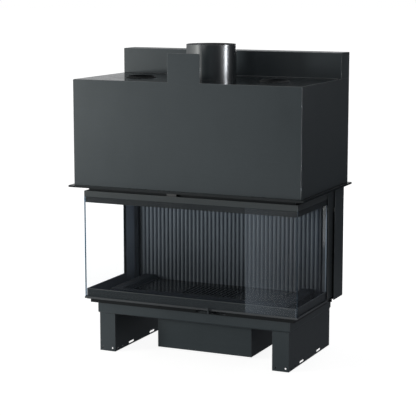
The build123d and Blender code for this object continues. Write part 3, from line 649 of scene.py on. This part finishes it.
def braided_seal(name, colour):
    """Glass-fibre braid, with crossing strands and fuzz."""
    f = Finish(name)
    fuzz = f.noise(2400.0, 4.0)
    strands = f.stripes(260.0, EVEN).larger(f.stripes(260.0, (1.0, 1.0, -1.0)))
    # The strands painted lighter on their crowns and darker between them: painted light and shade.
    tone = f.blend(strands, shade(colour, 0.55), shade(colour, 1.35))
    tone = f.blend(fuzz.above(0.5, 0.75) * 0.3, tone, shade(colour, 1.8))
    return f.done(
        f.surface(
            Base_Color=tone,
            Roughness=0.86 + fuzz * 0.1,
            Specular_IOR_Level=0.25,
            Normal=f.bump(strands + fuzz * 0.3, 0.6, 0.0008),
        )
    )


def twisted_cable(name, colour):
    """Wire rope, with painted shade in the grooves between its strands and patches of grease."""
    f = Finish(name)
    lay = f.stripes(420.0, (1.0, 1.0, 0.5), 0.4)
    grease = f.noise(70.0, 4.0)
    # Painted shade in the grooves between the strands.
    tone = f.blend(lay, shade(colour, 0.35), shade(colour, 1.0))
    tone = f.blend(grease.above(0.5, 0.8) * 0.5, tone, shade(colour, 0.3))
    return f.done(
        f.surface(
            Base_Color=tone,
            Roughness=0.38 + grease * 0.15,
            Metallic=0.95,
            Normal=f.bump(lay, 0.7, 0.0006),
        )
    )


def pane_glass(name, gloss, wiped_with_reflection=False):
    """Clear ceramic glass with a thin film of smoke. The front pane has a thinner film and a painted
    reflection, a pale band at right.
    """
    f = Finish(name)
    low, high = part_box("front_pane")
    facing = f.turned_away()
    smear = f.noise(5.0, 5.0, (1.0, 1.0, 0.3)).above(0.50, 0.85)
    specks = 1.0 - f.cells(190.0).above(0.03, 0.07)
    smoke = 1.0 - f.axis("Z").above(low.z, low.z + SMOKE_FILM_HEIGHT)
    clear = f.add("ShaderNodeBsdfTransparent", None, {"Color": CLEAR_GLASS})
    shine = f.add(
        "ShaderNodeBsdfGlossy",
        {"distribution": "GGX"},
        {"Color": WHITE, "Roughness": smear * 0.05 + 0.02},
    )
    haze_and_reflection = f.add("ShaderNodeBsdfDiffuse", None, {"Color": SMOKE_HAZE_AND_REFLECTION})
    share = gloss + 0.14 * facing**5.0
    glazed = f.add("ShaderNodeMixShader", None, {0: share, 1: clear, 2: shine})
    film = smear * 0.006 + specks * 0.009
    if wiped_with_reflection:
        # A pale band at right of the front pane, fading to its edge: painted reflection.
        across = f.axis("X")
        fading = 1.0 - across.above(REFLECTION_EDGE, high.x)
        reflection_streaks = f.noise(2.5, 3.0, (1.0, 1.0, 0.08))
        band = across.above(REFLECTION_EDGE - 0.002, REFLECTION_EDGE + 0.002)
        pale = fading * (0.061 + reflection_streaks * 0.020) + smoke * 0.034
        film = film + smoke * 0.002 + 0.008 + band * pale
    else:
        film = film + smoke * 0.016 + 0.013
    return f.done(f.add("ShaderNodeMixShader", None, {0: film, 1: glazed, 2: haze_and_reflection}))


def pane_edge(name, tint):
    """Polished edge of a pane, where the glass shows its blue-grey body."""
    f = Finish(name)
    grind = f.noise(700.0, 3.0)
    facing = f.turned_away()
    body = f.add("ShaderNodeBsdfTransparent", None, {"Color": tint})
    frost = f.add("ShaderNodeBsdfDiffuse", None, {"Color": shade(tint, 1.1)})
    shine = f.add("ShaderNodeBsdfGlossy", None, {"Color": WHITE, "Roughness": grind * 0.2 + 0.15})
    ground = f.add("ShaderNodeMixShader", None, {0: grind * 0.25 + 0.1, 1: body, 2: frost})
    return f.done(f.add("ShaderNodeMixShader", None, {0: facing * 0.10 + 0.02, 1: ground, 2: shine}))


# Finishes by name, and mesh work

made_finishes = {}


def finish_for(slot):
    """The finish of a slot of the record, or of single pieces that need their own. Each is made once."""
    if slot not in made_finishes:
        colours = settings_of(bpy.context)[0]
        housing = tuple(colours.housing)
        door = tuple(colours.door_frame)
        lining = tuple(colours.lining)
        steel = tuple(colours.steel)
        worn_and_edge_highlight = tuple(colours.worn_metal_and_edge_highlight)
        soot_and_shade = tuple(colours.soot_and_shade)
        rough = colours.paint_roughness
        gloss = colours.paint_gloss
        makers = {
            "black_paint": lambda: paint("housing_paint", housing, worn_and_edge_highlight, rough, gloss),
            "flue_enamel": lambda: flue_enamel("flue_enamel", shade(housing, 0.66), worn_and_edge_highlight),
            # The housing paint made 0.3 times as dark: painted shade on the roof and the bottom flange.
            "roof_paint": lambda: paint(
                "roof_paint", shade(housing, 0.30), worn_and_edge_highlight, roughness=0.13, gloss=0.16, grain=0.015, dust=0.0
            ),
            "frame_paint": lambda: paint("door_paint", door, worn_and_edge_highlight, rough - 0.04, gloss),
            # The lower frame takes the door paint made darker: painted shade for the frame behind the panes.
            "ashy_frame": lambda: paint(
                "ashy_frame", shade(door, 0.62), worn_and_edge_highlight, rough, gloss * 0.6, extra=ash_and_painted_light_on_frame
            ),
            "heated_bar": lambda: paint("heated_bar", door, worn_and_edge_highlight, rough, gloss, extra=bar_tones_by_panes),
            "liner": lambda: paint(
                "liner_paint", tuple(colours.liner), worn_and_edge_highlight, roughness=0.62, gloss=0.10, grain=0.22, dust=0.2
            ),
            "lining": lambda: ribbed_board("ribbed_board", lining, soot_and_shade),
            # The corner boards take the lining's colour made 3.1 times lighter: painted light for the light
            # that reaches them.
            "corner_board": lambda: corner_board("corner_board", shade(lining, 3.1), soot_and_shade),
            "cast": lambda: cast_iron("cast_iron", shade(tuple(colours.cast), 0.5), soot_and_shade),
            "bare_steel": lambda: machined_steel("machined_steel", steel, (1.0, 1.0, 0.04)),
            "blued_steel": lambda: machined_steel("blued_steel", shade(steel, 0.13), EVEN),
            "cable": lambda: twisted_cable("wire_rope", steel),
            "galvanised": lambda: galvanised("zinc_sheet", tuple(colours.zinc)),
            "bright_trim": lambda: bright_trim("bright_trim", tuple(colours.trim)),
            "seal": lambda: braided_seal("braided_seal", tuple(colours.seal)),
            "pane": lambda: pane_glass("pane_glass", colours.pane_gloss),
            "wiped_pane_with_reflection": lambda: pane_glass("wiped_pane_glass", colours.pane_gloss, wiped_with_reflection=True),
            "pane_edge": lambda: pane_edge("pane_edge", tuple(colours.glass_edge)),
        }
        made_finishes[slot] = makers[slot]()
    return made_finishes[slot]


def body_of_node(node):
    """The body that a CAD node rides on."""
    for body, members in frame["record"]["behaviour"]["bodies"].items():
        if node in members:
            return body
    raise RuntimeError(f"no body holds {node}")


def slot_of_node(node):
    """The record's slot of a CAD node."""
    for part in frame["record"]["subparts"]:
        if part["node"] == node:
            return part["material_slot"]
    raise RuntimeError(f"no slot for {node}")


def new_piece(name, bm, materials, smooth=True):
    """Turns a bmesh into a shaded object of the scene."""
    mesh = bpy.data.meshes.new(name)
    bm.to_mesh(mesh)
    bm.free()
    for material in materials:
        mesh.materials.append(material)
    if smooth:
        mesh.polygons.foreach_set("use_smooth", [True] * len(mesh.polygons))
        mesh.set_sharp_from_angle(angle=SMOOTH_ANGLE)
    piece = bpy.data.objects.new(name, mesh)
    bpy.context.scene.collection.objects.link(piece)
    if smooth:
        even = piece.modifiers.new("even_shading", "WEIGHTED_NORMAL")
        even.keep_sharp = True
    return piece


def welded_shape(node):
    """The CAD node's shape as one welded mesh with whole flat faces."""
    bm = bmesh.new()
    bm.from_mesh(frame["nodes"][node].data)
    for layer in list(bm.loops.layers.uv):
        bm.loops.layers.uv.remove(layer)
    bmesh.ops.remove_doubles(bm, verts=bm.verts, dist=WELD)
    bmesh.ops.dissolve_limit(bm, angle_limit=FLAT_ANGLE, verts=bm.verts, edges=bm.edges)
    bmesh.ops.recalc_face_normals(bm, faces=bm.faces)
    for face in bm.faces:
        face.material_index = 0
    return bm


def round_edges(bm, radius, steps):
    """Rounds the sharp edges and marks the new faces for wear."""
    layer = bm.faces.layers.float.new(EDGE_LAYER)
    sharp = [e for e in bm.edges if len(e.link_faces) == 2 and e.calc_face_angle() > EDGE_ANGLE]
    if radius <= 0.0 or not sharp:
        return
    made = bmesh.ops.bevel(
        bm,
        geom=sharp,
        offset=radius,
        offset_type="OFFSET",
        segments=steps,
        profile=0.5,
        affect="EDGES",
        clamp_overlap=True,
    )
    for face in made["faces"]:
        face[layer] = 1.0


def dress(node, radius, finish=None):
    """Makes a finished copy of a CAD node that stands for it."""
    edges = settings_of(bpy.context)[1]
    bm = welded_shape(node)
    round_edges(bm, radius, edges.steps)
    slot = slot_of_node(node)
    piece = new_piece(node + "_made", bm, [finish_for(finish or slot)])
    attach(piece, body_of_node(node))
    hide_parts(node)


def dress_pair(stem, radius, finish=None):
    """Makes finished copies of a left and a right node."""
    for side in LEFT_AND_RIGHT:
        dress(stem + "_" + side, radius, finish)


def turned(bm, centre, along, profile, steps):
    """Turns a profile of (distance along, radius) pairs round an axis."""
    axis = Vector(along).normalized()
    side = axis.orthogonal().normalized()
    other = axis.cross(side)
    rings = []
    for height, radius in profile:
        ring = []
        for step in range(steps):
            angle = 2.0 * math.pi * step / steps
            arm = side * math.cos(angle) + other * math.sin(angle)
            ring.append(bm.verts.new(Vector(centre) + axis * height + arm * radius))
        rings.append(ring)
    for lower, upper in zip(rings, rings[1:]):
        for step in range(steps):
            after = (step + 1) % steps
            bm.faces.new((lower[step], lower[after], upper[after], upper[step]))
    bm.faces.new(list(reversed(rings[0])))
    bm.faces.new(rings[-1])


# Operators


class FIREPLACE_OT_base(bpy.types.Operator):
    """Dress the legs, base tray, air box and bolts"""

    bl_idname = "fireplace.base"
    bl_label = "Base and legs"

    def execute(self, context):
        edges = settings_of(context)[1]
        dress_pair("leg", edges.bent)
        dress("base_tray", edges.sheet)
        dress("air_box", edges.bent)
        dress("leg_bolts", edges.small)
        return {"FINISHED"}


class FIREPLACE_OT_lower_frame(bpy.types.Operator):
    """Dress the lower frame with the band behind the glass, and the air lever"""

    bl_idname = "fireplace.lower_frame"
    bl_label = "Lower frame and air lever"

    def execute(self, context):
        edges = settings_of(context)[1]
        # Its finish paints light and shade on the frame, besides ash.
        dress("lower_frame", edges.sheet, "ashy_frame")
        dress("air_lever", edges.small)
        return {"FINISHED"}


class FIREPLACE_OT_hearth(bpy.types.Operator):
    """Dress the cast hearth, the grate and the ash pan"""

    bl_idname = "fireplace.hearth"
    bl_label = "Hearth, grate and ash pan"

    def execute(self, context):
        edges = settings_of(context)[1]
        dress("hearth_pan", edges.cast)
        dress("grate", edges.cast)
        dress("ash_pan", edges.small)
        return {"FINISHED"}


class FIREPLACE_OT_firebox(bpy.types.Operator):
    """Dress the firebox walls, the ribbed linings and the baffles"""

    bl_idname = "fireplace.firebox"
    bl_label = "Firebox"

    def execute(self, context):
        edges = settings_of(context)[1]
        dress("firebox_back", edges.small)
        dress_pair("side_wall", edges.sheet)
        dress_pair("side_lining", edges.small, "corner_board")
        for plate in (1, 2, 3, 4):
            dress(f"back_lining_{plate}", edges.small)
        dress("baffle_lower", edges.bent)
        dress("baffle_upper", edges.bent)
        return {"FINISHED"}


class FIREPLACE_OT_smoke_way(bpy.types.Operator):
    """Dress the fixed frame above the door, the smoke dome and the flue spigot"""

    bl_idname = "fireplace.smoke_way"
    bl_label = "Smoke way and flue"

    def execute(self, context):
        edges = settings_of(context)[1]
        # The upper frame takes the dark liner paint: painted shade in the gap between the flange and the
        # door's bar.
        dress("upper_frame", edges.sheet, "liner")
        dress("smoke_dome", edges.small)
        dress("flue_collar", edges.small, "flue_enamel")
        return {"FINISHED"}


class FIREPLACE_OT_housing(bpy.types.Operator):
    """Dress the convection housing, its flange, the roof's outlets and the tower"""

    bl_idname = "fireplace.housing"
    bl_label = "Housing and tower"

    def execute(self, context):
        edges = settings_of(context)[1]
        dress("housing_front", edges.sheet)
        dress_pair("housing_side", edges.sheet)
        # The roof takes the housing paint darkened as painted shade.
        dress("housing_roof", edges.small, "roof_paint")
        dress_pair("convection_rim", edges.small)
        dress("rear_panel", edges.sheet)
        # The bottom flange takes the housing paint darkened as painted shade.
        dress("bottom_flange", edges.small, "roof_paint")
        dress("tower_wrap", edges.sheet)
        dress("tower_lid", edges.small)
        return {"FINISHED"}


class FIREPLACE_OT_rivets(bpy.types.Operator):
    """Set domed rivets round the rear sheet, where it is fixed to the housing and the tower"""

    bl_idname = "fireplace.rivets"
    bl_label = "Rivets of the rear sheet"

    def execute(self, context):
        edges = settings_of(context)[1]
        low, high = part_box("rear_panel")
        left, right = low.x + RIVET_INSET, high.x - RIVET_INSET
        foot, top = low.z + RIVET_INSET, high.z - RIVET_INSET
        across = self.spaced(left, right, edges.rivet_pitch)
        upward = self.spaced(foot, top, edges.rivet_pitch)[1:-1]
        places = [(x, z) for z in (foot, top) for x in across]
        places += [(x, z) for x in (left, right) for z in upward]
        radius = edges.rivet
        dome = [(-RIVET_SUNK, radius)]
        dome += [(radius * height, radius * reach) for height, reach in RIVET_DOME]
        bm = bmesh.new()
        for x, z in places:
            turned(bm, (x, high.y, z), (0.0, 1.0, 0.0), dome, RIVET_FACES)
        bmesh.ops.recalc_face_normals(bm, faces=bm.faces)
        piece = new_piece("rear_rivets", bm, [finish_for("black_paint")])
        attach(piece, "frame")
        return {"FINISHED"}

    def spaced(self, first, last, pitch):
        """Even places from the first to the last, about a pitch apart."""
        count = round((last - first) / pitch)
        return [first + (last - first) * step / count for step in range(count + 1)]


class FIREPLACE_OT_lift(bpy.types.Operator):
    """Dress the shafts, rails, carriages, pulleys and counterweights of the door lift"""

    bl_idname = "fireplace.lift"
    bl_label = "Door lift"

    def execute(self, context):
        edges = settings_of(context)[1]
        dress_pair("shaft_cover", edges.small)
        dress_pair("guide_rail", edges.small)
        dress_pair("lift_carriage", edges.small)
        dress_pair("pulley_bracket", edges.small)
        dress_pair("pulley", edges.small)
        dress_pair("counterweight", edges.small)
        return {"FINISHED"}


class FIREPLACE_OT_cables(bpy.types.Operator):
    """Make the lift cables, with their arcs over the pulleys and their straight runs"""

    bl_idname = "fireplace.cables"
    bl_label = "Lift cables"

    def execute(self, context):
        for side in LEFT_AND_RIGHT:
            dress("cable_arc_" + side, 0.0, "cable")
            self.straight_run("cable_front_" + side, "door")
            self.straight_run("cable_rear_" + side, "counterweight_" + side)
        return {"FINISHED"}

    def straight_run(self, node, body):
        """Makes one straight run from its pulley down to what it carries."""
        low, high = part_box(node)
        middle = (low + high) / 2
        radius = (high.x - low.x) / 2
        bm = bmesh.new()
        run = [(0.0, radius), (high.z - low.z, radius)]
        turned(bm, (middle.x, middle.y, low.z), (0.0, 0.0, 1.0), run, CABLE_FACES)
        bmesh.ops.recalc_face_normals(bm, faces=bm.faces)
        piece = new_piece(node + "_made", bm, [finish_for("cable")])
        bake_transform(piece)
        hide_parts(node)


class FIREPLACE_OT_door(bpy.types.Operator):
    """Dress the lift door with its three panes, bars, seal and catch"""

    bl_idname = "fireplace.door"
    bl_label = "Lift door"

    def execute(self, context):
        edges = settings_of(context)[1]
        dress("door_top_bar", edges.bent, "heated_bar")
        dress("door_bottom_bar", edges.small)
        dress("door_seal", edges.small)
        dress("door_catch", edges.small, "blued_steel")
        # The front pane carries a painted reflection at right.
        self.pane("front_pane", "wiped_pane_with_reflection", edges)
        self.pane("side_pane_left", "pane", edges)
        self.pane("side_pane_right", "pane", edges)
        return {"FINISHED"}

    def pane(self, node, finish, edges):
        """Makes a pane with clear faces and polished, tinted edges."""
        bm = welded_shape(node)
        largest = max(bm.faces, key=lambda face: face.calc_area())
        across = largest.normal.copy()
        round_edges(bm, edges.pane, 1)
        for face in bm.faces:
            face.material_index = 0 if abs(face.normal.dot(across)) > ALONG_A_FACE else 1
        piece = new_piece(node + "_made", bm, [finish_for(finish), finish_for("pane_edge")], smooth=False)
        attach(piece, "door")
        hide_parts(node)


class FIREPLACE_OT_stage(bpy.types.Operator):
    """Make the pale floor, the white surroundings, the soft lights and the camera"""

    bl_idname = "fireplace.stage"
    bl_label = "Studio"

    def execute(self, context):
        studio = settings_of(context)[2]
        self.floor(studio)
        self.surroundings(studio)
        for name, power, place, target, size, colour in LAMPS:
            self.lamp(name, place, target, size, getattr(studio, power), colour)
        for name, place, facing, size, colour in CARDS:
            self.card(name, place, facing, size, colour)
        self.camera()
        context.scene.view_settings.view_transform = "Standard"
        return {"FINISHED"}

    def floor(self, studio):
        """A round pale floor, which shows white and keeps the object's shadow."""
        bm = bmesh.new()
        bmesh.ops.create_circle(bm, cap_ends=True, segments=FLOOR_SIDES, radius=FLOOR_RADIUS)
        bmesh.ops.translate(bm, verts=bm.verts, vec=(0.0, 0.0, FLOOR_Z - FLOOR_GAP))
        f = Finish("pale_floor")
        away = f.add("ShaderNodeVectorMath", {"operation": "LENGTH"}, {0: f.place()}, output="Value")
        near = 1.0 - away.above(SHADOW_NEAR, SHADOW_FAR)
        cloud = f.noise(1.2, 3.0)
        level = (1.0 - near * (1.0 - studio.floor_glow)) * f.shown()
        glow = f.add("ShaderNodeEmission", None, {"Color": WHITE, "Strength": level})
        tone = f.blend(cloud, shade(WHITE, studio.floor * 0.97), shade(WHITE, studio.floor))
        matt = f.add("ShaderNodeBsdfDiffuse", None, {"Color": tone})
        face = f.done(f.add("ShaderNodeAddShader", None, {0: glow, 1: matt}))
        floor = new_piece("floor", bm, [face], smooth=False)

    def surroundings(self, studio):
        """A world that shows white and lights the object softly."""
        f = WorldFinish("white_studio")
        values = {"Value": f.shown(), "To Min": studio.fill, "To Max": 1.0}
        level = f.add("ShaderNodeMapRange", None, values)
        sky = f.add("ShaderNodeBackground", None, {"Color": WHITE, "Strength": level})
        bpy.context.scene.world = f.done(sky)

    def lamp(self, name, place, target, size, power, colour):
        """A soft rectangular lamp."""
        light = bpy.data.lights.new(name, "AREA")
        light.shape = "RECTANGLE"
        light.size, light.size_y = size
        light.energy = power
        light.color = colour
        lamp = bpy.data.objects.new(name, light)
        lamp.location = place
        lamp.rotation_mode = "QUATERNION"
        lamp.rotation_quaternion = (Vector(target) - Vector(place)).to_track_quat("-Z", "Y")
        lamp.visible_camera = False
        bpy.context.scene.collection.objects.link(lamp)

    def card(self, name, place, facing, size, colour):
        """A studio card that only reflections show."""
        toward = Vector(facing).normalized()
        side = Vector((1.0, 0.0, 0.0)) if toward.z > 0.9 else Vector((0.0, 0.0, 1.0)).cross(toward)
        side.normalize()
        up = toward.cross(side)
        half = side * size[0] / 2
        rise = up * size[1] / 2
        bm = bmesh.new()
        centre = Vector(place)
        corners = (centre - half - rise, centre + half - rise, centre + half + rise, centre - half + rise)
        bm.faces.new([bm.verts.new(corner) for corner in corners])
        f = Finish(name + "_face")
        glow = f.add("ShaderNodeEmission", None, {"Color": colour, "Strength": 1.0})
        card = new_piece(name, bm, [f.done(glow)], smooth=False)
        card.visible_camera = False
        card.visible_diffuse = False
        card.visible_shadow = False
        card.visible_transmission = False

    def camera(self):
        """The camera at the photograph's angle."""
        view = bpy.data.cameras.new("camera")
        view.sensor_width = CAMERA_SENSOR
        view.lens = CAMERA_LENS
        view.clip_end = CAMERA_REACH
        camera = bpy.data.objects.new("camera", view)
        place = Vector(CAMERA_PLACE)
        camera.location = place
        camera.rotation_mode = "QUATERNION"
        camera.rotation_quaternion = (Vector(CAMERA_TARGET) - place).to_track_quat("-Z", "Y")
        bpy.context.scene.collection.objects.link(camera)
        bpy.context.scene.camera = camera


OPERATORS = (
    FIREPLACE_OT_base,
    FIREPLACE_OT_lower_frame,
    FIREPLACE_OT_hearth,
    FIREPLACE_OT_firebox,
    FIREPLACE_OT_smoke_way,
    FIREPLACE_OT_housing,
    FIREPLACE_OT_rivets,
    FIREPLACE_OT_lift,
    FIREPLACE_OT_cables,
    FIREPLACE_OT_door,
    FIREPLACE_OT_stage,
)


class FIREPLACE_PT_panel(bpy.types.Panel):
    """The fireplace's pieces and settings"""

    bl_idname = "FIREPLACE_PT_panel"
    bl_label = "Three-sided fireplace"
    bl_space_type = "VIEW_3D"
    bl_region_type = "UI"
    bl_category = "Fireplace"

    def draw(self, context):
        layout = self.layout
        for group in settings_of(context):
            box = layout.box()
            for key in group.bl_rna.properties.keys():
                if key not in ("rna_type", "name"):
                    box.prop(group, key)
        for operator in OPERATORS:
            layout.operator(operator.bl_idname, text=operator.bl_label)


CLASSES = (FireplaceFinishes, FireplaceEdges, FireplaceStudio, *OPERATORS, FIREPLACE_PT_panel)


def register():
    """Registers the classes and hangs the settings on the scene."""
    for item in CLASSES:
        bpy.utils.register_class(item)
    bpy.types.Scene.fireplace_finishes = PointerProperty(type=FireplaceFinishes)
    bpy.types.Scene.fireplace_edges = PointerProperty(type=FireplaceEdges)
    bpy.types.Scene.fireplace_studio = PointerProperty(type=FireplaceStudio)


def unregister():
    """Takes the settings and the classes away again."""
    del bpy.types.Scene.fireplace_studio
    del bpy.types.Scene.fireplace_edges
    del bpy.types.Scene.fireplace_finishes
    for item in reversed(CLASSES):
        bpy.utils.unregister_class(item)


def main():
    """Makes every piece and the studio."""
    register()
    bpy.ops.fireplace.base()
    bpy.ops.fireplace.lower_frame()
    bpy.ops.fireplace.hearth()
    bpy.ops.fireplace.firebox()
    bpy.ops.fireplace.smoke_way()
    bpy.ops.fireplace.housing()
    bpy.ops.fireplace.rivets()
    bpy.ops.fireplace.lift()
    bpy.ops.fireplace.cables()
    bpy.ops.fireplace.door()
    bpy.ops.fireplace.stage()


if __name__ == "__main__":
    main()
